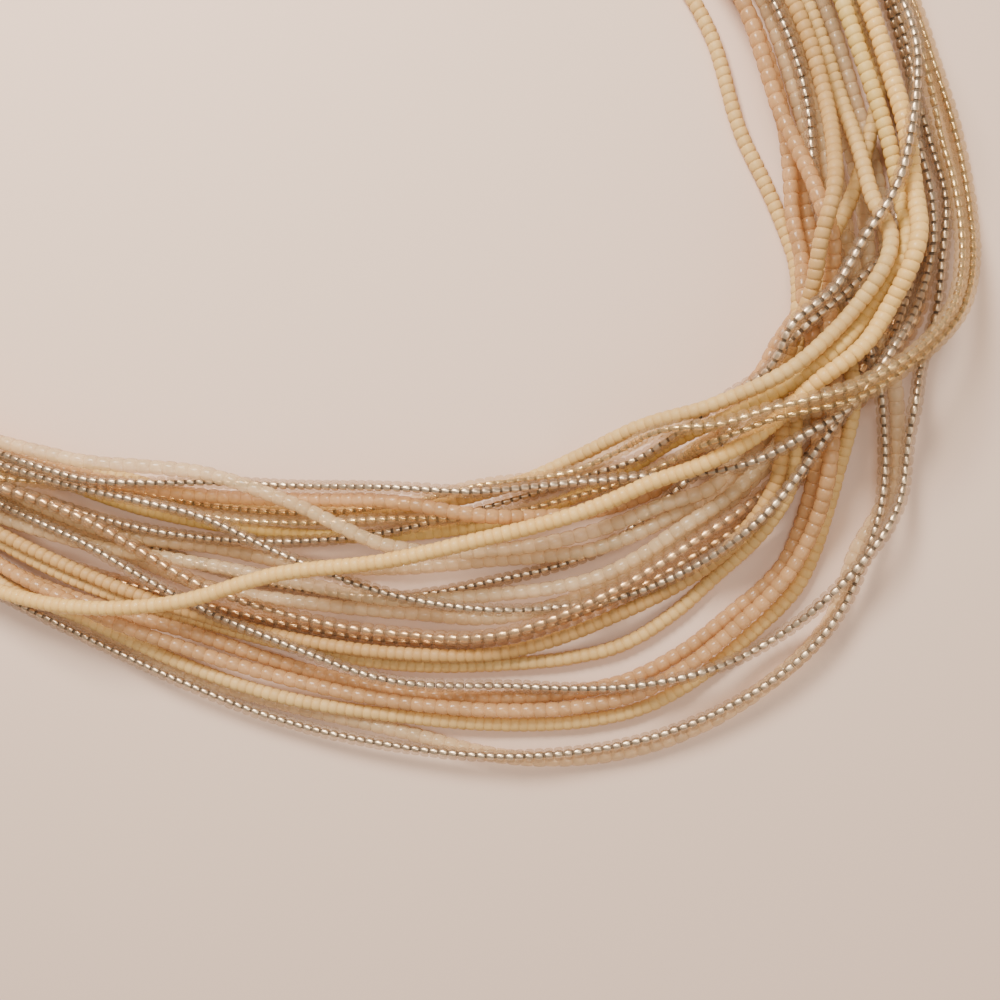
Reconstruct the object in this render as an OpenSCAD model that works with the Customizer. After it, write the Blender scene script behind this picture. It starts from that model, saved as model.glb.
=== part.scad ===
// Multi strand necklace: a bundle of bead strands wrapped over and under one another, lying
// on a surface as one closed loop, with a plain bar clasp at the back of the loop.
// Units are millimetres. The surface it lies on is at height nought.

/* [Strands] */
// Diameter of the silver lined glass strands
silver_d = 2; // [1.6:0.1:2.4]
// Diameter of the clear glass strands
clear_d = 2.2; // [1.8:0.1:2.6]
// Diameter of the cream, tan and yellow strands
cream_d = 2.1; // [1.7:0.1:2.5]
// Diameter of the ivory strand
ivory_d = 2.3; // [1.9:0.1:2.7]
// Diameter of the pink strands
pink_d = 2.2; // [1.8:0.1:2.6]
// Diameter of the gold lined strands
gold_d = 2.1; // [1.7:0.1:2.5]
// Diameter of the rose lined strands
rose_d = 2.3; // [1.9:0.1:2.7]
// Gap kept between strands that touch
strand_gap = 0.3; // [0.25:0.05:0.5]

/* [Loop] */
// Size of the loop and of the spread of the strands against the measured one
loop_size = 1; // [1:0.02:1.2]

/* [Clasp] */
// Width of the clasp across the strands
clasp_w = 26; // [25:0.5:32]
// Height of the clasp
clasp_h = 14; // [14:0.5:20]
// Radius of the clasp's long edges
clasp_round = 2.5; // [1:0.25:5]
// Gap between the ends of the strands and the clasp
end_gap = 0.2; // [0.15:0.05:0.5]

/* [Hidden] */
// Sides of a strand's tube
SIDES = 8;
// Steps between two rings at which heights are compared
SUB = 4;
// Steepest rise of a strand along its run
RISE = 0.45;
// Lift beyond the top of a piece at which it is laid level instead
OVERSHOOT = 0.4;
// Allowance for the slope of strands lying on one another
LEAN = 1.1;
// Distance between strands in a row at the clasp
PITCH = 2.45;
// Route shared by every strand, as x and y in millimetres at each station along it
STATION = [-6, -5, -4, -3, -2, -1, 0, 1, 2, 3, 4, 5, 6, 7, 8, 9, 10, 11, 12, 13, 14, 15, 16, 17, 18];
ROUTE = [
  [-66, 115.4],
  [-92, 104],
  [-110, 87],
  [-120, 65],
  [-121, 42],
  [-113, 21],
  [-98, 6],
  [-81, -2],
  [-63, -9],
  [-47, -13],
  [-31, -15.8],
  [-15, -17.2],
  [1, -16.7],
  [16, -13.8],
  [29.2, -7.5],
  [40, 2],
  [47, 13.5],
  [51, 26.5],
  [51.5, 40],
  [48.5, 55],
  [42, 74],
  [29, 92],
  [8, 106],
  [-17, 114],
  [-46, 117.6]
];
// Stations at which the strands are placed across the route
PLACE_AT = [1, 2, 3, 4, 5, 6, 7, 8, 8.5, 9, 9.5, 10, 10.5, 11, 11.5, 12, 13];
// Each strand with its diameter and its places across the route, plus being away from the neck
STRAND = [
  ["silver_strand_1", silver_d,
    [-11, -12.5, -16, -18, -19, -18, -17, -13, -9, -5, -2, 1.8, 3.6, 6, 7.7, 7.9, 5.6]],
  ["silver_strand_2", silver_d,
    [-9, -10.8, -11.2, -7.6, -3.5, -1, 0.5, 1, 0.9, 0.7, 0.5, 1.6, 3.4, 4.8, 6.2, 6.2, 9.5]],
  ["silver_strand_3", silver_d,
    [-5.4, -6.5, -7.4, -9.7, -12.8, -16, -17.5, -16, -15.5, -14.5, -13, -9.8, -9.6, -5.3, -2.6, 1.8, 7.5]],
  ["silver_strand_4", silver_d,
    [-4.2, -4.5, -2.9, -2.2, -2.7, -5, -6.5, -9, -9.5, -10, -10.2, -10.1, -8, -3.8, 1.5, 3.6, 3.2]],
  ["silver_strand_5", silver_d,
    [-2.6, -2.3, 2, 5.3, 9.1, 10.5, 13, 15.5, 15.2, 14.7, 13.9, 10.9, 9.4, 9.8, 9.8, 10.6, 10]],
  ["silver_strand_6", silver_d,
    [11, 12, 14.5, 17.5, 19.1, 20.5, 21, 20, 18.4, 15, 11.6, 7.5, 2.6, -2.4, -5, -7.3, -5.3]],
  ["clear_strand_1", clear_d,
    [-12.6, -15.2, -17.5, -15.6, -10.6, -9.5, -9.5, -8.5, -6.5, -7.5, -7.8, -7.8, -7.2, -5, -4.5, -4.9, -5.3]],
  ["clear_strand_2", clear_d,
    [-4.4, -4.5, -6, -6, -7, -8, -7, -6.5, -5.5, -5.6, -5.7, -5.6, -4.8, -2.5, -2, -2.4, -2.8]],
  ["clear_strand_3", clear_d,
    [0, -2, -3.5, -3.5, -2.5, -3, -3, -4.5, -4, -3.8, -3.6, -3.4, -2.4, 0, 0.5, 0.2, -0.3]],
  ["clear_strand_4", clear_d,
    [-2.2, -2, 0, -0.5, -0.5, 0.5, -1.5, -3.5, -3.2, -3.1, -2, -1.2, 0, 2.6, 3.1, 2.7, 2.2]],
  ["clear_strand_5", clear_d,
    [9.4, 11, 14.1, 15.6, 17.4, 21.5, 22.5, 20.5, 18.5, 14, 13, 9.8, 5.2, 0.4, -2.2, -3.8, -4.2]],
  ["ivory_strand", ivory_d,
    [10.4, 6.9, 2.2, -5.3, -8.6, -11.5, -12.5, -12, -10, -8, -6, -4, 0, 2.3, 4.2, 4.4, 5]],
  ["cream_strand_1", cream_d,
    [-10, -13, -13, -14.5, -16, -18, -20.2, -20, -18.5, -15.5, -12.3, -7.9, -4.5, -1.2, 1.2, -0.4, -0.4]],
  ["cream_strand_2", cream_d,
    [3.2, 4.5, 5.5, 6.5, 7.5, 7.5, 7.5, 4, 3, 1.3, -2.6, -5.4, -7.6, -8.6, -9.4, -10.9, -13.7]],
  ["cream_strand_3", cream_d,
    [8.6, 9.5, 12.2, 14, 15, 16.5, 17, 13.5, 11.9, 8.2, 5, 2.8, -0.6, -4.8, -6, -2.9, 4.7]],
  ["tan_strand", cream_d,
    [1.4, 2.5, 4, 5, 5.5, 5.5, 3, 2, 0.8, -1, -4.8, -7.8, -8.4, -7.9, -7.8, -6.1, -3.4]],
  ["yellow_strand", cream_d,
    [-8.6, -9, -9.5, -10.5, -12, -13.5, -15, -15.5, -15, -13, -10, -6, -2.2, 0.7, 3.4, 3.2, 2.4]],
  ["pink_strand_1", pink_d,
    [7, 6.5, 7, 9.5, 11.5, 12.5, 12.5, 9.5, 8.5, 4.9, 1.1, -2.6, -5.6, -8.3, -8.9, -9.8, -8.3]],
  ["pink_strand_2", pink_d,
    [5.4, 6.5, 9, 11, 12.5, 14, 14.5, 11, 9.5, 6.5, 2.6, -0.2, -3.2, -5.3, -5.8, -7.4, -9]],
  ["pink_strand_3", pink_d,
    [-10.8, -12.5, -14, -16, -17, -14.5, -12.5, -11, -11.6, -12, -12, -10.4, -9.6, -7.6, -7, -7.4, -7.8]],
  ["gold_strand_1", gold_d,
    [-7.6, -11.3, -12.5, -14, -16.5, -19, -18.5, -18, -16.5, -12, -8, -0.9, 5.4, 9.8, 11.2, 11.2, 10.6]],
  ["gold_strand_2", gold_d,
    [-6.4, -11, -11, -12.5, -14.5, -14.5, -15, -13.5, -12.5, -10, -6.2, 1.2, 6.6, 11.6, 13.4, 14, 13.6]],
  ["rose_strand_1", rose_d,
    [-6, -6, -1.5, 1.3, 2.5, 2.5, -0.5, -2, -1.5, -0.7, 0.6, 1, 2.4, 5.2, 5.7, 5.3, 4.8]],
  ["rose_strand_2", rose_d,
    [4.4, 3, 3, 3.5, 4, 3.5, 1, 0, 0.5, 1.2, 2.7, 3.2, 4.8, 7.8, 8.3, 7.9, 7.4]]
];
// Stations of the rings of every strand
RING_AT = [
  -6, -5, -4, -3, -2, -1, 0, 1, 1.5, 2, 2.5, 3, 4, 5,
  6, 6.5, 7, 7.5, 8, 8.25, 8.5, 8.75, 9, 9.25, 9.5, 9.75, 10, 10.25,
  10.5, 10.75, 11, 11.25, 11.5, 12, 12.5, 13, 14, 15, 16, 17, 18
];
// Order of laying from the surface up, as strand, first ring station and last ring station
LAY = [
  ["pink_strand_3", 7.5, 18],
  ["silver_strand_4", -6, 9.5],
  ["clear_strand_4", -6, 18],
  ["rose_strand_2", -6, 18],
  ["clear_strand_2", -6, 18],
  ["clear_strand_3", -6, 18],
  ["clear_strand_1", 7, 18],
  ["rose_strand_1", 8.25, 18],
  ["cream_strand_2", -6, 18],
  ["clear_strand_5", -6, 18],
  ["pink_strand_1", -6, 18],
  ["cream_strand_3", -6, 18],
  ["silver_strand_6", -6, 18],
  ["pink_strand_2", -6, 18],
  ["tan_strand", -6, 18],
  ["silver_strand_5", -6, 18],
  ["silver_strand_4", 9.75, 18],
  ["yellow_strand", -6, 18],
  ["silver_strand_3", -6, 10.25],
  ["cream_strand_1", -6, 18],
  ["gold_strand_1", -6, 8],
  ["gold_strand_2", -6, 8.5],
  ["pink_strand_3", -6, 7],
  ["silver_strand_2", -6, 18],
  ["rose_strand_1", -6, 8],
  ["silver_strand_1", -6, 18],
  ["clear_strand_1", -6, 6.5],
  ["ivory_strand", -6, 18],
  ["silver_strand_3", 10.5, 18],
  ["gold_strand_2", 8.75, 18],
  ["gold_strand_1", 8.25, 18]
];
// Strands from the lowest row of the clasp up, at its first face and at its last
FIRST_END = [
  "silver_strand_4", "yellow_strand", "clear_strand_5", "rose_strand_2",
  "pink_strand_1", "clear_strand_4", "silver_strand_6", "cream_strand_1",
  "cream_strand_2", "clear_strand_2", "clear_strand_3", "cream_strand_3",
  "pink_strand_2", "pink_strand_3", "tan_strand", "silver_strand_3",
  "gold_strand_1", "ivory_strand", "silver_strand_5", "rose_strand_1",
  "gold_strand_2", "silver_strand_2", "silver_strand_1", "clear_strand_1"
];
LAST_END = [
  "cream_strand_2", "pink_strand_1", "pink_strand_3", "clear_strand_1",
  "clear_strand_2", "clear_strand_3", "clear_strand_4", "rose_strand_1",
  "rose_strand_2", "pink_strand_2", "silver_strand_6", "clear_strand_5",
  "cream_strand_3", "silver_strand_4", "silver_strand_2", "silver_strand_5",
  "gold_strand_2", "tan_strand", "cream_strand_1", "yellow_strand",
  "silver_strand_3", "ivory_strand", "silver_strand_1", "gold_strand_1"
];
// Strands in each row at the clasp
ROW = [9, 8, 7];

// Curve through values given at uneven stations
function piece_of(ts, t, i = 0) = (i >= len(ts) - 2 || t < ts[i + 1]) ? i : piece_of(ts, t, i + 1);
function rate(ts, vs, k) =
  let (a = max(k - 1, 0), b = min(k + 1, len(ts) - 1)) (vs[b] - vs[a]) / (ts[b] - ts[a]);
function curve(ts, vs, t) =
  let (i = piece_of(ts, t), h = ts[i + 1] - ts[i], f = (t - ts[i]) / h)
  (2 * f * f * f - 3 * f * f + 1) * vs[i]
  + (f * f * f - 2 * f * f + f) * h * rate(ts, vs, i)
  + (3 * f * f - 2 * f * f * f) * vs[i + 1]
  + (f * f * f - f * f) * h * rate(ts, vs, i + 1);
function unit(v) = v / norm(v);
function ease(f) = let (c = min(1, max(0, f))) c * c * (3 - 2 * c);

// Route, its ends and the direction across it
LAST = len(STATION) - 1;
START = STATION[0];
FINISH = STATION[LAST];
OPENS = PLACE_AT[0];
CLOSES = PLACE_AT[len(PLACE_AT) - 1];
AXIS = unit(ROUTE[LAST] - ROUTE[0]);
MID = loop_size * (ROUTE[LAST] + ROUTE[0]) / 2;
CLASP_L = loop_size * norm(ROUTE[LAST] - ROUTE[0]) - 2 * end_gap;
function route(t) = loop_size * curve(STATION, ROUTE, t);
function heading(t) = (t <= START || t >= FINISH) ? -AXIS : unit(route(t + 0.01) - route(t - 0.01));
function across(t) = let (d = heading(t)) [d[1], -d[0]];

// Place of a strand in its row at the clasp, rows filled from the lowest up
function row_of(i, r = 0, past = 0) = i < past + ROW[r] ? [r, past] : row_of(i, r + 1, past + ROW[r]);
function rank_of(name, list, i = 0) = list[i] == name ? i : rank_of(name, list, i + 1);
function number_of(name, i = 0) = STRAND[i][0] == name ? i : number_of(name, i + 1);
function slot(n, list, col) =
  let (at = rank_of(STRAND[n][0], list), rw = row_of(at), c = ROW[rw[0]],
    mine = STRAND[n][2][col],
    before = len([for (q = [rw[1]:rw[1] + c - 1])
      let (m = number_of(list[q]), v = STRAND[m][2][col])
      if (v < mine || (v == mine && q < at)) 1]))
  (before - (c - 1) / 2) * PITCH;
N = len(STRAND);
COLS = len(PLACE_AT);
SLOT_FIRST = [for (n = [0:N - 1]) slot(n, FIRST_END, 0)];
SLOT_LAST = [for (n = [0:N - 1]) slot(n, LAST_END, COLS - 1)];
function place(n, t) =
  let (vs = STRAND[n][2])
  t < OPENS
    ? let (f = ease((OPENS - t) / (OPENS - START))) loop_size * vs[0] * (1 - f) + SLOT_FIRST[n] * f
    : t > CLOSES
      ? let (f = ease((t - CLOSES) / (FINISH - CLOSES)))
        loop_size * vs[COLS - 1] * (1 - f) + SLOT_LAST[n] * f
      : loop_size * curve(PLACE_AT, vs, t);

// Plan of every strand
RINGS = len(RING_AT);
STEPS = (RINGS - 1) * SUB + 1;
SPINE = [for (t = RING_AT) route(t)];
SIDEWAYS = [for (t = RING_AT) across(t)];
PLAN = [for (n = [0:N - 1]) [for (k = [0:RINGS - 1]) SPINE[k] + place(n, RING_AT[k]) * SIDEWAYS[k]]];
RUN = [for (p = PLAN) [for (k = [0:RINGS - 2]) norm(p[k + 1] - p[k])]];
LINE = [for (p = PLAN) [for (k = [0:RINGS - 2]) unit(p[k + 1] - p[k])]];
FINE = [for (p = PLAN) [for (s = [0:STEPS - 1])
  let (k = min(floor(s / SUB), RINGS - 2), f = s / SUB - k) p[k] * (1 - f) + p[k + 1] * f]];
R = [for (s = STRAND) s[1] / 2];

// Height needed by a strand over those already laid, at one step along it
function over(n, j, s, z) =
  let (d = R[n] + R[j] + strand_gap,
    v = FINE[n][s] - FINE[j][s],
    w = LINE[j][min(floor(s / SUB), RINGS - 2)],
    l = abs(v[0] * w[1] - v[1] * w[0]))
  l < d ? z + LEAN * sqrt(d * d - l * l) : 0;
function need(n, s, zs) =
  max(concat([R[n]], [for (j = [0:N - 1]) if (j != n && zs[j][s] != undef) over(n, j, s, zs[j][s])]));
function rise_on(zz, run, k, out) =
  k >= len(zz) ? out : rise_on(zz, run, k + 1, concat(out, [max(zz[k], out[k - 1] - RISE * run[k - 1])]));
function flip(v) = [for (k = [len(v) - 1:-1:0]) v[k]];
function rise_both(zz, run) =
  let (a = rise_on(zz, run, 1, [zz[0]]), b = rise_on(flip(a), flip(run), 1, [a[len(a) - 1]])) flip(b);
function ring_no(t, i = 0) = RING_AT[i] >= t ? i : ring_no(t, i + 1);
// Heights asked of the two rings of a piece: a lift that clears the sag, or level with its top
function ends_of(w, k) =
  let (a = w[k * SUB], b = w[(k + 1) * SUB],
    top = max([for (q = [0:SUB]) w[k * SUB + q]]),
    sag = max([for (q = [0:SUB - 1]) w[k * SUB + q] - a * (1 - q / SUB) - b * q / SUB]))
  max(a, b) + sag > top + OVERSHOOT ? [top, top] : [a + sag, b + sag];
// Ring heights of one laid stretch
function stretch(n, ia, ib, zs) =
  let (w = [for (s = [0:STEPS - 1]) (s >= ia * SUB && s <= ib * SUB) ? need(n, s, zs) : 0],
    e = [for (k = [ia:ib - 1]) ends_of(w, k)],
    zz = [for (k = [ia:ib]) max(k < ib ? e[k - ia][0] : 0, k > ia ? e[k - 1 - ia][1] : 0)],
    run = [for (k = [ia:ib - 1]) RUN[n][k]])
  rise_both(zz, run);
// Heights at every step from ring heights, unknown where a ring is not laid yet
function fill(z) = [for (s = [0:STEPS - 1])
  let (k = min(floor(s / SUB), RINGS - 2), f = s / SUB - k)
  f == 0 ? z[k] : f == 1 ? z[k + 1]
    : (z[k] == undef || z[k + 1] == undef) ? undef : z[k] * (1 - f) + z[k + 1] * f];
function lay(i, rings, fine) =
  i >= len(LAY) ? rings
  : let (n = number_of(LAY[i][0]), ia = ring_no(LAY[i][1]), ib = ring_no(LAY[i][2]),
      new = stretch(n, ia, ib, fine),
      z = [for (k = [0:RINGS - 1]) (k >= ia && k <= ib) ? new[k - ia] : rings[n][k]],
      f = fill(z))
    lay(i + 1,
      [for (j = [0:N - 1]) j == n ? z : rings[j]],
      [for (j = [0:N - 1]) j == n ? f : fine[j]]);
BARE_RINGS = [for (n = [0:N - 1]) [for (k = [0:RINGS - 1]) undef]];
BARE_STEPS = [for (n = [0:N - 1]) [for (s = [0:STEPS - 1]) undef]];
HEIGHT = lay(0, BARE_RINGS, BARE_STEPS);

// Centre line and ring points of every strand
CENTRE = [for (n = [0:N - 1]) [for (k = [0:RINGS - 1]) [PLAN[n][k][0], PLAN[n][k][1], HEIGHT[n][k]]]];
FLAT_AXIS = [AXIS[0], AXIS[1], 0];
function tangent(c, k) = (k == 0 || k == RINGS - 1) ? -FLAT_AXIS : unit(c[k + 1] - c[k - 1]);

function ring(n, k) =
  let (c = CENTRE[n], t = tangent(c, k), s = unit([t[1], -t[0], 0]), u = cross(s, t))
  [for (j = [0:SIDES - 1]) c[k] + R[n] * (cos(j * 360 / SIDES) * s + sin(j * 360 / SIDES) * u)];
SKIN = [for (n = [0:N - 1]) [for (k = [0:RINGS - 1]) each ring(n, k)]];
HALF_L = CLASP_L / 2;
CLASP_CORNER = [for (a = [-1, 1], b = [-1, 1])
  MID + a * HALF_L * AXIS + b * clasp_w / 2 * [-AXIS[1], AXIS[0]]];
XS = concat([for (s = SKIN, p = s) p[0]], [for (p = CLASP_CORNER) p[0]]);
YS = concat([for (s = SKIN, p = s) p[1]], [for (p = CLASP_CORNER) p[1]]);
SHIFT = [-(min(XS) + max(XS)) / 2, -(min(YS) + max(YS)) / 2, 0];

SIDE_FACES = [for (k = [0:RINGS - 2], j = [0:SIDES - 1])
  let (a = k * SIDES + j, b = k * SIDES + (j + 1) % SIDES) each [[a, b, b + SIDES], [a, b + SIDES, a + SIDES]]];
FIRST_CAP = [[for (j = [SIDES - 1:-1:0]) j]];
LAST_CAP = [[for (j = [0:SIDES - 1]) (RINGS - 1) * SIDES + j]];
FACES = concat(SIDE_FACES, FIRST_CAP, LAST_CAP);

module tube(n) {
  translate(SHIFT)
    polyhedron(points = SKIN[n], faces = FACES, convexity = 10);
}

// Bar with rounded long edges, its length along x, standing on the surface
module clasp_bar(l, w, h, r) {
  translate([-l / 2, -w / 2 + r, 0])
    cube([l, w - 2 * r, h]);
  translate([-l / 2, -w / 2, r])
    cube([l, w, h - 2 * r]);
  for (y = [-1, 1], z = [r, h - r])
    translate([-l / 2, y * (w / 2 - r), z])
      rotate([0, 90, 0])
        cylinder(r = r, h = l, $fn = 48);
}

module silver_strand_1() {
  color([0.78, 0.78, 0.76])
    tube(0);
}
module silver_strand_2() {
  color([0.78, 0.78, 0.76])
    tube(1);
}
module silver_strand_3() {
  color([0.78, 0.78, 0.76])
    tube(2);
}
module silver_strand_4() {
  color([0.78, 0.78, 0.76])
    tube(3);
}
module silver_strand_5() {
  color([0.78, 0.78, 0.76])
    tube(4);
}
module silver_strand_6() {
  color([0.78, 0.78, 0.76])
    tube(5);
}
module clear_strand_1() {
  color([0.86, 0.87, 0.86])
    tube(6);
}
module clear_strand_2() {
  color([0.86, 0.87, 0.86])
    tube(7);
}
module clear_strand_3() {
  color([0.86, 0.87, 0.86])
    tube(8);
}
module clear_strand_4() {
  color([0.86, 0.87, 0.86])
    tube(9);
}
module clear_strand_5() {
  color([0.86, 0.87, 0.86])
    tube(10);
}
module ivory_strand() {
  color([0.97, 0.94, 0.84])
    tube(11);
}
module cream_strand_1() {
  color([0.93, 0.88, 0.74])
    tube(12);
}
module cream_strand_2() {
  color([0.93, 0.88, 0.74])
    tube(13);
}
module cream_strand_3() {
  color([0.93, 0.88, 0.74])
    tube(14);
}
module tan_strand() {
  color([0.93, 0.88, 0.74])
    tube(15);
}
module yellow_strand() {
  color([0.93, 0.88, 0.74])
    tube(16);
}
module pink_strand_1() {
  color([0.93, 0.75, 0.68])
    tube(17);
}
module pink_strand_2() {
  color([0.93, 0.75, 0.68])
    tube(18);
}
module pink_strand_3() {
  color([0.93, 0.75, 0.68])
    tube(19);
}
module gold_strand_1() {
  color([0.80, 0.66, 0.42])
    tube(20);
}
module gold_strand_2() {
  color([0.80, 0.66, 0.42])
    tube(21);
}
module rose_strand_1() {
  color([0.86, 0.62, 0.55])
    tube(22);
}
module rose_strand_2() {
  color([0.86, 0.62, 0.55])
    tube(23);
}

module clasp() {
  color([0.72, 0.72, 0.70])
    translate([MID[0] + SHIFT[0], MID[1] + SHIFT[1], 0])
      rotate([0, 0, atan2(AXIS[1], AXIS[0])])
        clasp_bar(CLASP_L, clasp_w, clasp_h, clasp_round);
}

silver_strand_1();
silver_strand_2();
silver_strand_3();
silver_strand_4();
silver_strand_5();
silver_strand_6();
clear_strand_1();
clear_strand_2();
clear_strand_3();
clear_strand_4();
clear_strand_5();
ivory_strand();
cream_strand_1();
cream_strand_2();
cream_strand_3();
tan_strand();
yellow_strand();
pink_strand_1();
pink_strand_2();
pink_strand_3();
gold_strand_1();
gold_strand_2();
rose_strand_1();
rose_strand_2();
clasp();
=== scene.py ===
"""Multi strand necklace lying on a plain surface: every strand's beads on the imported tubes."""

import math
import random

import bpy
import numpy as np
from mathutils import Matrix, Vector


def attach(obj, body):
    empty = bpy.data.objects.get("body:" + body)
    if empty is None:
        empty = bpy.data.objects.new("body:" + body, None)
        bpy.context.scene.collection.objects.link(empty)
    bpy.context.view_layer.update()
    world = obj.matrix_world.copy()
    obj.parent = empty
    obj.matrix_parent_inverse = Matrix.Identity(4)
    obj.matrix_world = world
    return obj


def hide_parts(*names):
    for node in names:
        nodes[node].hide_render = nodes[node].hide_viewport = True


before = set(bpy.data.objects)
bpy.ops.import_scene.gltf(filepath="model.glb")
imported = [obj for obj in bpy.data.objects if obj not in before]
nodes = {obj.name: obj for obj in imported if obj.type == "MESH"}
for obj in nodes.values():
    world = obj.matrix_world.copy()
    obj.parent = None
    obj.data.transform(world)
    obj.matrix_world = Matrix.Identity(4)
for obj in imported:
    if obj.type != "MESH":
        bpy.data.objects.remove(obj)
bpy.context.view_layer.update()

# Lengths are in metres, as in the frame
MM = 0.001

# Lines of the strands
STEP = 0.25 * MM  # between samples along a strand
EASE = (1.5 * MM, 1.5 * MM, 3.5 * MM)  # easing of a strand's line to each side, along x, y and height
SAME_DECIMALS = 7  # to which doubled corners of a tube agree
FACE_BAND = 1.2 * MM  # from a face of the clasp, within which a tube's end lies
CLASP_REACH = 30 * MM  # from the clasp's own line, within which a tube's end lies
FACE_TURN = 0.9  # least x share of the normal of the clasp's end face

# Outlines of half a bead as pairs of a share of its half length and a share of its radius
SOFT = ((1.0, 0.80), (0.76, 0.94), (0.38, 1.0))
ROUND = ((1.0, 0.66), (0.82, 0.88), (0.40, 1.0))
EVEN = ((1.0, 0.78), (0.80, 0.93), (0.35, 1.0))

# Beads of each kind: pitch in mm, outline, lining as a share of the radius, core as the lining's share of
# the length, fill as the bead's share of the pitch, and loose for how much the beads differ
BEAD = {
    "silver": dict(pitch=1.41, outline=ROUND, lining=0.60, core=0.70, fill=1.0, loose=1.0),
    "clear": dict(pitch=1.90, outline=EVEN, fill=1.06, loose=0.6),
    "ivory": dict(pitch=1.22, outline=SOFT, fill=1.10, loose=0.35),
    "cream": dict(pitch=1.30, outline=SOFT, fill=1.08, loose=0.35),
    "tan": dict(pitch=1.30, outline=SOFT, fill=1.08, loose=0.35),
    "yellow": dict(pitch=1.30, outline=SOFT, fill=1.08, loose=0.35),
    "pink": dict(pitch=1.80, outline=EVEN, fill=1.06, loose=0.6),
    "gold": dict(pitch=1.50, outline=ROUND, lining=0.46, core=0.64, fill=1.0, loose=0.8),
    "rose": dict(pitch=1.90, outline=ROUND, lining=0.60, core=0.62, fill=1.0, loose=1.0),
}
SIDES = 10  # of a bead
INNER_SIDES = 6  # of a lining
THREAD = 0.34  # radius share of the hole between linings, whose ends are painted dark as shade
BARREL = 0.84  # radius of a lining's ends against its middle
HEADING_SPAN = 2  # samples to each side that give a bead's heading
HEADING_SPREAD = 0.04  # most that a loose bead's heading differs, along each axis
LENGTH_SPREAD = 0.06  # most that a loose bead is shorter
WIDTH_SPREAD = (-0.05, 0.03)  # least and most that a loose bead is wider
SEED = 7  # of the random draws

# Material numbers on a strand's mesh
SHELL = 0
LINING = 1
# ends past a lining, painted dark in place of the shade in the hole between beads
END = 2

# Materials
BEAD_GLOSS = 0.25  # specular level of opaque beads
COAT_ROUGHNESS = 0.04
GLASS_IOR = 1.5
DARKEST_GLASS = 0.88  # darkest bead's tint against its kind's
LIGHTEST_GLASS = 1.08
END_SHADE = 0.8  # darkest painted-shade end of a lining against its kind's
END_ROUGHNESS = 0.5
CLOUD_SCALE = 60.0  # of the faint clouds on the floor and the clasp
CLOUD_SHADE = 0.97

# Stage, lights as name, place, size, power and colour, and camera
FLOOR_SIZE = 6
LIGHTS = [
    ("key", (-0.08, 0.19, 0.28), 0.14, 2.4, (1.0, 0.92, 0.81)),
    ("fill", (0.6, -0.3, 0.6), 0.6, 1.6, (1.0, 0.89, 0.77)),
    ("top", (0.08, 0.03, 0.8), 0.30, 1.8, (1.0, 0.92, 0.81)),
]
ROOM_COLOUR = (1.0, 0.89, 0.78)
ROOM_STRENGTH = 0.38
TILT_DEG = 8.8  # lean of the camera from straight down
DISTANCE = 0.149  # from the camera to the surface along its view
CLASP_TO_AIM = (0.056, -0.1165)  # from the clasp's middle to where the middle of the picture falls
SENSOR_MM = 36.0  # width of the sensor, and the length of the lens
NEAREST = 0.005
FARTHEST = 20.0


# Materials

def new_material(name):
    """Material without nodes but its output, with its node tree and the output's surface."""
    m = bpy.data.materials.new(name)
    m.use_nodes = True
    t = m.node_tree
    t.nodes.clear()
    out = t.nodes.new("ShaderNodeOutputMaterial")
    return m, t, out.inputs["Surface"]


def colour_between(t, socket, factor, low, high):
    """Colour of a socket from low to high as the factor goes from nought to one."""
    ramp = t.nodes.new("ShaderNodeValToRGB")
    ramp.color_ramp.elements[0].color = (*low, 1)
    ramp.color_ramp.elements[1].color = (*high, 1)
    t.links.new(factor, ramp.inputs["Fac"])
    t.links.new(ramp.outputs["Color"], socket)


def shade_by_bead(t, socket, low, high):
    """Colour of a socket from low to high by each bead's own shade."""
    shade = t.nodes.new("ShaderNodeAttribute")
    shade.attribute_name = "shade"
    colour_between(t, socket, shade.outputs["Fac"], low, high)


def bead_material(name, low, high, roughness, metallic=0.0, coat=0.0):
    """Opaque bead or lining, from low to high by each bead's own shade."""
    m, t, surface = new_material(name)
    b = t.nodes.new("ShaderNodeBsdfPrincipled")
    shade_by_bead(t, b.inputs["Base Color"], low, high)
    b.inputs["Roughness"].default_value = roughness
    b.inputs["Metallic"].default_value = metallic
    b.inputs["Specular IOR Level"].default_value = BEAD_GLOSS
    b.inputs["Coat Weight"].default_value = coat
    b.inputs["Coat Roughness"].default_value = COAT_ROUGHNESS
    t.links.new(b.outputs["BSDF"], surface)
    return m


def painted_shade_material(name, colour):
    """Painted shade at the ends of a lining: a dark colour standing in for the shade in the hole between
    beads.
    """
    return bead_material(name, [c * END_SHADE for c in colour], colour, END_ROUGHNESS)


def glass_material(name, seen_through, body, roughness, clear):
    """Glass that shows what lies behind it by the share clear, and else its own tint and glints."""
    m, t, surface = new_material(name)
    glass = t.nodes.new("ShaderNodeBsdfPrincipled")
    low = [c * DARKEST_GLASS for c in body]
    high = [min(1, c * LIGHTEST_GLASS) for c in body]
    shade_by_bead(t, glass.inputs["Base Color"], low, high)
    glass.inputs["Roughness"].default_value = roughness
    glass.inputs["IOR"].default_value = GLASS_IOR
    see = t.nodes.new("ShaderNodeBsdfTransparent")
    see.inputs["Color"].default_value = (*seen_through, 1)
    mix = t.nodes.new("ShaderNodeMixShader")
    mix.inputs["Fac"].default_value = clear
    t.links.new(glass.outputs["BSDF"], mix.inputs[1])
    t.links.new(see.outputs["BSDF"], mix.inputs[2])
    t.links.new(mix.outputs["Shader"], surface)
    return m


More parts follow.
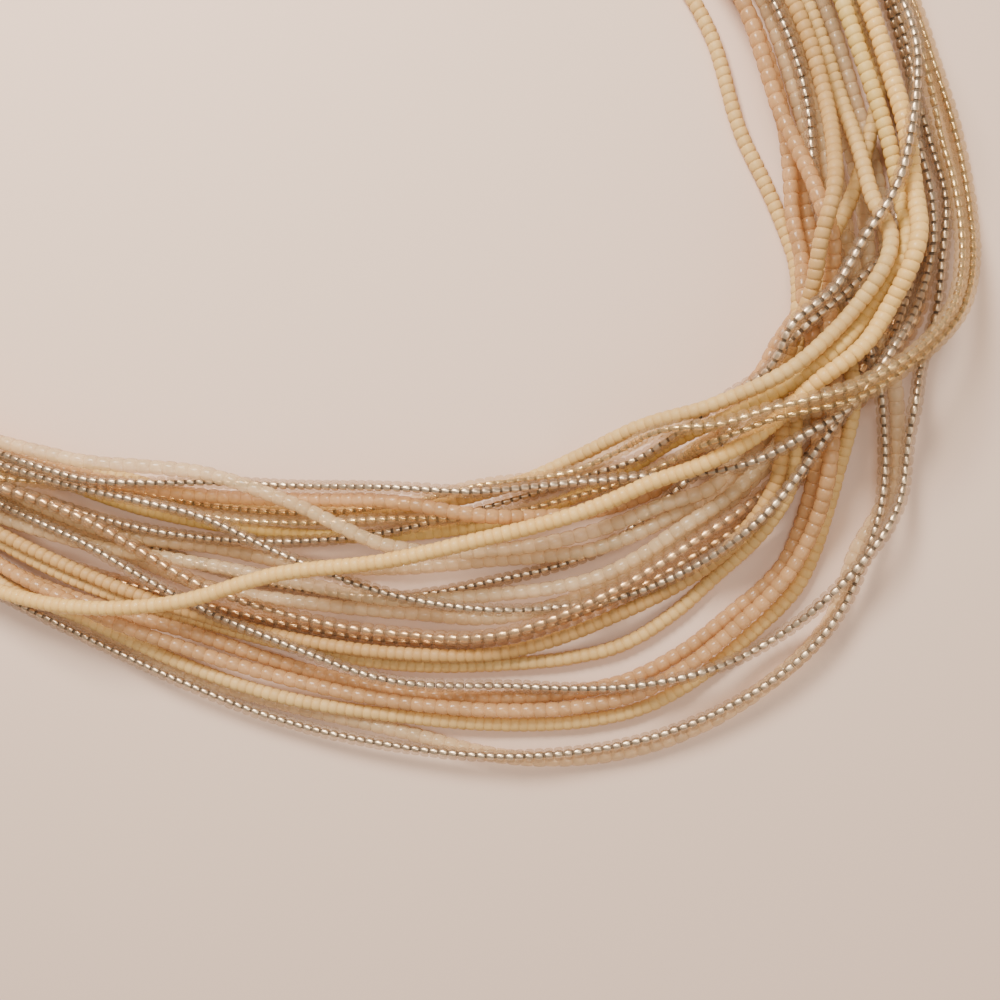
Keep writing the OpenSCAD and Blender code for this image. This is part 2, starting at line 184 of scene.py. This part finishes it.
def plain_material(name, colour, roughness, metallic=0.0):
    """Smooth surface with faint clouds in its colour."""
    m, t, surface = new_material(name)
    b = t.nodes.new("ShaderNodeBsdfPrincipled")
    clouds = t.nodes.new("ShaderNodeTexNoise")
    clouds.inputs["Scale"].default_value = CLOUD_SCALE
    low = [c * CLOUD_SHADE for c in colour]
    colour_between(t, b.inputs["Base Color"], clouds.outputs["Fac"], low, colour)
    b.inputs["Roughness"].default_value = roughness
    b.inputs["Metallic"].default_value = metallic
    t.links.new(b.outputs["BSDF"], surface)
    return m


# Materials of each kind of strand, in the order of the material numbers
LOOK = {
    "silver": [
        glass_material("silver_shell", (0.95, 0.90, 0.84), (0.46, 0.38, 0.29), 0.14, 0.80),
        bead_material("silver_lining", (0.87, 0.71, 0.53), (1.0, 0.88, 0.69), 0.30, metallic=1.0),
        # painted shade: dark ends standing in for the shade between the silver linings
        painted_shade_material("silver_end_painted_shade", (0.14, 0.10, 0.07)),
    ],
    "clear": [glass_material("clear_bead", (0.97, 0.92, 0.85), (0.86, 0.655, 0.39), 0.16, 0.58)],
    "ivory": [bead_material("ivory_bead", (0.80, 0.50, 0.165), (0.85, 0.555, 0.195), 0.40, coat=0.05)],
    "cream": [bead_material("cream_bead", (0.65, 0.425, 0.165), (0.73, 0.49, 0.195), 0.46)],
    "tan": [bead_material("tan_bead", (0.52, 0.305, 0.11), (0.59, 0.36, 0.14), 0.46)],
    "yellow": [bead_material("yellow_bead", (0.69, 0.47, 0.15), (0.76, 0.53, 0.185), 0.46)],
    "pink": [glass_material("pink_bead", (0.97, 0.86, 0.71), (0.69, 0.415, 0.20), 0.22, 0.44)],
    "gold": [
        glass_material("gold_shell", (0.98, 0.93, 0.83), (0.68, 0.50, 0.29), 0.14, 0.80),
        bead_material("gold_lining", (0.94, 0.68, 0.34), (1.0, 0.82, 0.48), 0.27, metallic=1.0),
        # painted shade: dark ends standing in for the shade between the gold linings
        painted_shade_material("gold_end_painted_shade", (0.32, 0.22, 0.11)),
    ],
    "rose": [
        glass_material("rose_shell", (0.97, 0.90, 0.81), (0.62, 0.44, 0.29), 0.14, 0.80),
        bead_material("rose_lining", (0.95, 0.67, 0.39), (1.0, 0.78, 0.48), 0.30, metallic=1.0),
        # painted shade: dark ends standing in for the shade between the rose linings
        painted_shade_material("rose_end_painted_shade", (0.30, 0.20, 0.12)),
    ],
}


# Lines of the strands

def merged_corners(node):
    """A node's corners with doubled ones made one, and the neighbours of each."""
    me = node.data
    co = np.empty(len(me.vertices) * 3)
    me.vertices.foreach_get("co", co)
    co = co.reshape(-1, 3)
    number = {}
    spots = []
    where = np.empty(len(co), int)
    for i, p in enumerate(np.round(co, SAME_DECIMALS)):
        key = tuple(p)
        if key not in number:
            number[key] = len(spots)
            spots.append(co[i])
        where[i] = number[key]
    near = [set() for _ in spots]
    for e in me.edges:
        a = where[e.vertices[0]]
        b = where[e.vertices[1]]
        near[a].add(b)
        near[b].add(a)
    return np.array(spots), near


def rings_of(node, clasp_mid, clasp_axis, clasp_half):
    """Centres of the tube's rings from the clasp round to the clasp, and the tube's radius."""
    spots, near = merged_corners(node)
    off = spots - clasp_mid
    along = off @ clasp_axis
    side = np.linalg.norm(off[:, :2] - np.outer(along, clasp_axis[:2]), axis=1)
    layer = set(np.where((np.abs(along + clasp_half) < FACE_BAND) & (side < CLASP_REACH))[0])
    seen = set(layer)
    rings = []
    while layer:
        rings.append(sorted(layer))
        beyond = set()
        for i in layer:
            beyond |= near[i]
        layer = beyond - seen
        seen |= layer
    centres = np.array([spots[ids].mean(axis=0) for ids in rings])
    radius = np.mean([np.linalg.norm(spots[i] - centres[0]) for i in rings[0]])
    return centres, radius


def eased(values, w):
    """Running mean over w samples to each side, with the ends kept."""
    start = 2 * values[0] - values[w:0:-1]
    finish = 2 * values[-1] - values[-2:-w - 2:-1]
    pad = np.concatenate([start, values, finish])
    return np.convolve(pad, np.ones(2 * w + 1) / (2 * w + 1), mode="valid")


def smooth_run(points, leave):
    """Even samples along a strand: curved in plan through its centres, straight and then eased in height."""
    d = np.linalg.norm(np.diff(points, axis=0), axis=1)
    slope = np.diff(points, axis=0) / d[:, None]
    turn = (slope[:-1] * d[1:, None] + slope[1:] * d[:-1, None]) / (d[1:] + d[:-1])[:, None]
    turn = np.concatenate([[leave], turn, [leave]])
    pieces = []
    for k, length in enumerate(d):
        f = np.arange(0, length, STEP)[:, None] / length
        bend = (
            ((2 * f - 3) * f * f + 1) * points[k]
            + (3 - 2 * f) * f * f * points[k + 1]
            + length * ((f - 2) * f + 1) * f * turn[k]
            + length * (f - 1) * f * f * turn[k + 1]
        )
        bend[:, 2] = (points[k] + f * (points[k + 1] - points[k]))[:, 2]
        pieces.append(bend)
    fine = np.concatenate(pieces + [points[-1:]])
    s = np.concatenate([[0], np.cumsum(np.linalg.norm(np.diff(fine, axis=0), axis=1))])
    at = np.linspace(0, s[-1], int(s[-1] / STEP))
    line = [eased(np.interp(at, s, fine[:, c]), int(EASE[c] / STEP)) for c in range(3)]
    return at, np.stack(line, axis=1)


# Beads of the strands

def bead_axes(line, k, loose, rnd):
    """A bead's own axes at one sample of its line: along it, level across it, and upright."""
    t = line[k + HEADING_SPAN] - line[k - HEADING_SPAN]
    t /= np.linalg.norm(t)
    t += np.array([rnd.uniform(-1, 1) for _ in range(3)]) * HEADING_SPREAD * loose
    t /= np.linalg.norm(t)
    u = np.cross(t, (0, 0, 1))
    u /= np.linalg.norm(u)
    return t, u, np.cross(u, t)


def bead_profile(outline, half, r):
    """Outline of a whole bead as pairs of a place along it and a radius."""
    left = [(-x * half, y * r) for x, y in outline]
    right = [(-x, y) for x, y in reversed(left)]
    return left + right


def lining_profiles(bead, half, r):
    """Outlines of a lining, its end discs and the ends past it painted dark as shade, each with its material
    number.
    """
    core = bead["core"] * half
    hole = THREAD * r
    middle = bead["lining"] * r
    rim = BARREL * middle
    return [
        ([(-half, hole), (-core, hole)], END),
        ([(-core, hole), (-core, rim)], LINING),
        ([(-core, rim), (0, middle), (core, rim)], LINING),
        ([(core, rim), (core, hole)], LINING),
        ([(core, hole), (half, hole)], END),
    ]


def add_turned(made, p, axes, turn, sides, profile, number):
    """Rings of a profile turned about a bead's own axis, joined by bands of one material."""
    t, u, v = axes
    ang = np.arange(sides) * 2 * math.pi / sides + turn
    ring = np.cos(ang)[:, None] * u + np.sin(ang)[:, None] * v
    for x, r in profile:
        made["rings"].append(p + t * x + ring * r)
    for a in range(len(profile) - 1):
        q = made["corners"] + a * sides
        for j in range(sides):
            k = (j + 1) % sides
            made["quads"].append((q + j, q + sides + j, q + sides + k, q + k))
            made["numbers"].append(number)
    made["corners"] += len(profile) * sides


def strand_mesh(name, kind, centres, radius, leave, rnd):
    """Mesh of one strand's beads along the line of its tube."""
    bead = BEAD[kind]
    loose = bead["loose"]
    at, line = smooth_run(centres, leave)
    total = at[-1]
    last = len(at) - 1
    count = int(total / (bead["pitch"] * MM))
    pitch = total / count
    made = {"rings": [], "quads": [], "numbers": [], "corners": 0}
    shades = []
    for i in range(count):
        s = (i + 0.5) * pitch
        k = min(last - HEADING_SPAN, max(HEADING_SPAN, int(s / total * last)))
        p = np.array([np.interp(s, at, line[:, c]) for c in range(3)])
        axes = bead_axes(line, k, loose, rnd)
        turn = rnd.uniform(0, 2 * math.pi)
        half = pitch * bead["fill"] * (1 - rnd.uniform(0, LENGTH_SPREAD) * loose) / 2
        r = radius * (1 + rnd.uniform(*WIDTH_SPREAD) * loose)
        start = made["corners"]
        add_turned(made, p, axes, turn, SIDES, bead_profile(bead["outline"], half, r), SHELL)
        if "lining" in bead:
            for profile, number in lining_profiles(bead, half, r):
                add_turned(made, p, axes, turn, INNER_SIDES, profile, number)
        shades += [rnd.random()] * (made["corners"] - start)
    me = bpy.data.meshes.new(name)
    me.from_pydata(np.concatenate(made["rings"]).tolist(), [], made["quads"])
    me.polygons.foreach_set("material_index", np.array(made["numbers"], dtype=np.int32))
    me.polygons.foreach_set("use_smooth", np.ones(len(made["numbers"]), dtype=bool))
    layer = me.attributes.new("shade", "FLOAT", "POINT")
    layer.data.foreach_set("value", np.array(shades, dtype=np.float32))
    for m in LOOK[kind]:
        me.materials.append(m)
    me.update()
    return add_object(name, me)


def add_object(name, data):
    """New object in the scene."""
    o = bpy.data.objects.new(name, data)
    bpy.context.scene.collection.objects.link(o)
    return o


# Strands and clasp

clasp = nodes["clasp"]
corners = np.array([v.co[:] for v in clasp.data.vertices])
mid = (corners.min(axis=0) + corners.max(axis=0)) / 2
normals = [np.array(p.normal) for p in clasp.data.polygons]
axis = np.mean([n for n in normals if n[0] > FACE_TURN], axis=0)
axis /= np.linalg.norm(axis)
half_length = np.abs((corners - mid) @ axis).max()
rnd = random.Random(SEED)
for n in sorted(nodes):
    if n == "clasp":
        continue
    kind = n.split("_")[0]
    centres, radius = rings_of(nodes[n], mid, -axis, half_length)
    beads = strand_mesh(n + "_beads", kind, centres, radius, axis, rnd)
    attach(beads, "root")
    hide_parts(n)

clasp.data.materials.clear()
clasp.data.materials.append(plain_material("clasp_metal", (0.72, 0.71, 0.69), 0.32, 1.0))


# Surface and light

bpy.ops.mesh.primitive_plane_add(size=FLOOR_SIZE, location=(0, 0, 0))
floor = bpy.context.object
floor.name = "floor"
floor.data.materials.append(plain_material("floor_pale", (0.85, 0.65, 0.54), 0.7))

for name, place, size, power, colour in LIGHTS:
    lamp = bpy.data.lights.new(name, "AREA")
    lamp.shape = "DISK"
    lamp.size = size
    lamp.energy = power
    lamp.color = colour
    o = add_object(name, lamp)
    o.location = place
    o.rotation_euler = (-Vector(place)).to_track_quat("-Z", "Y").to_euler()

world = bpy.data.worlds.new("studio")
world.use_nodes = True
room = world.node_tree.nodes["Background"]
room.inputs["Color"].default_value = (*ROOM_COLOUR, 1)
room.inputs["Strength"].default_value = ROOM_STRENGTH
bpy.context.scene.world = world


# Camera

lean = math.radians(TILT_DEG)
back = np.array([math.sin(lean), 0.0, math.cos(lean)])
aim = mid + np.array([*CLASP_TO_AIM, -mid[2]])
cam_data = bpy.data.cameras.new("camera")
cam_data.sensor_fit = "HORIZONTAL"
cam_data.sensor_width = SENSOR_MM
cam_data.lens = SENSOR_MM
cam_data.clip_start = NEAREST
cam_data.clip_end = FARTHEST
cam = add_object("camera", cam_data)
cam.location = aim + back * DISTANCE
cam.rotation_euler = (0.0, lean, 0.0)
bpy.context.scene.camera = cam
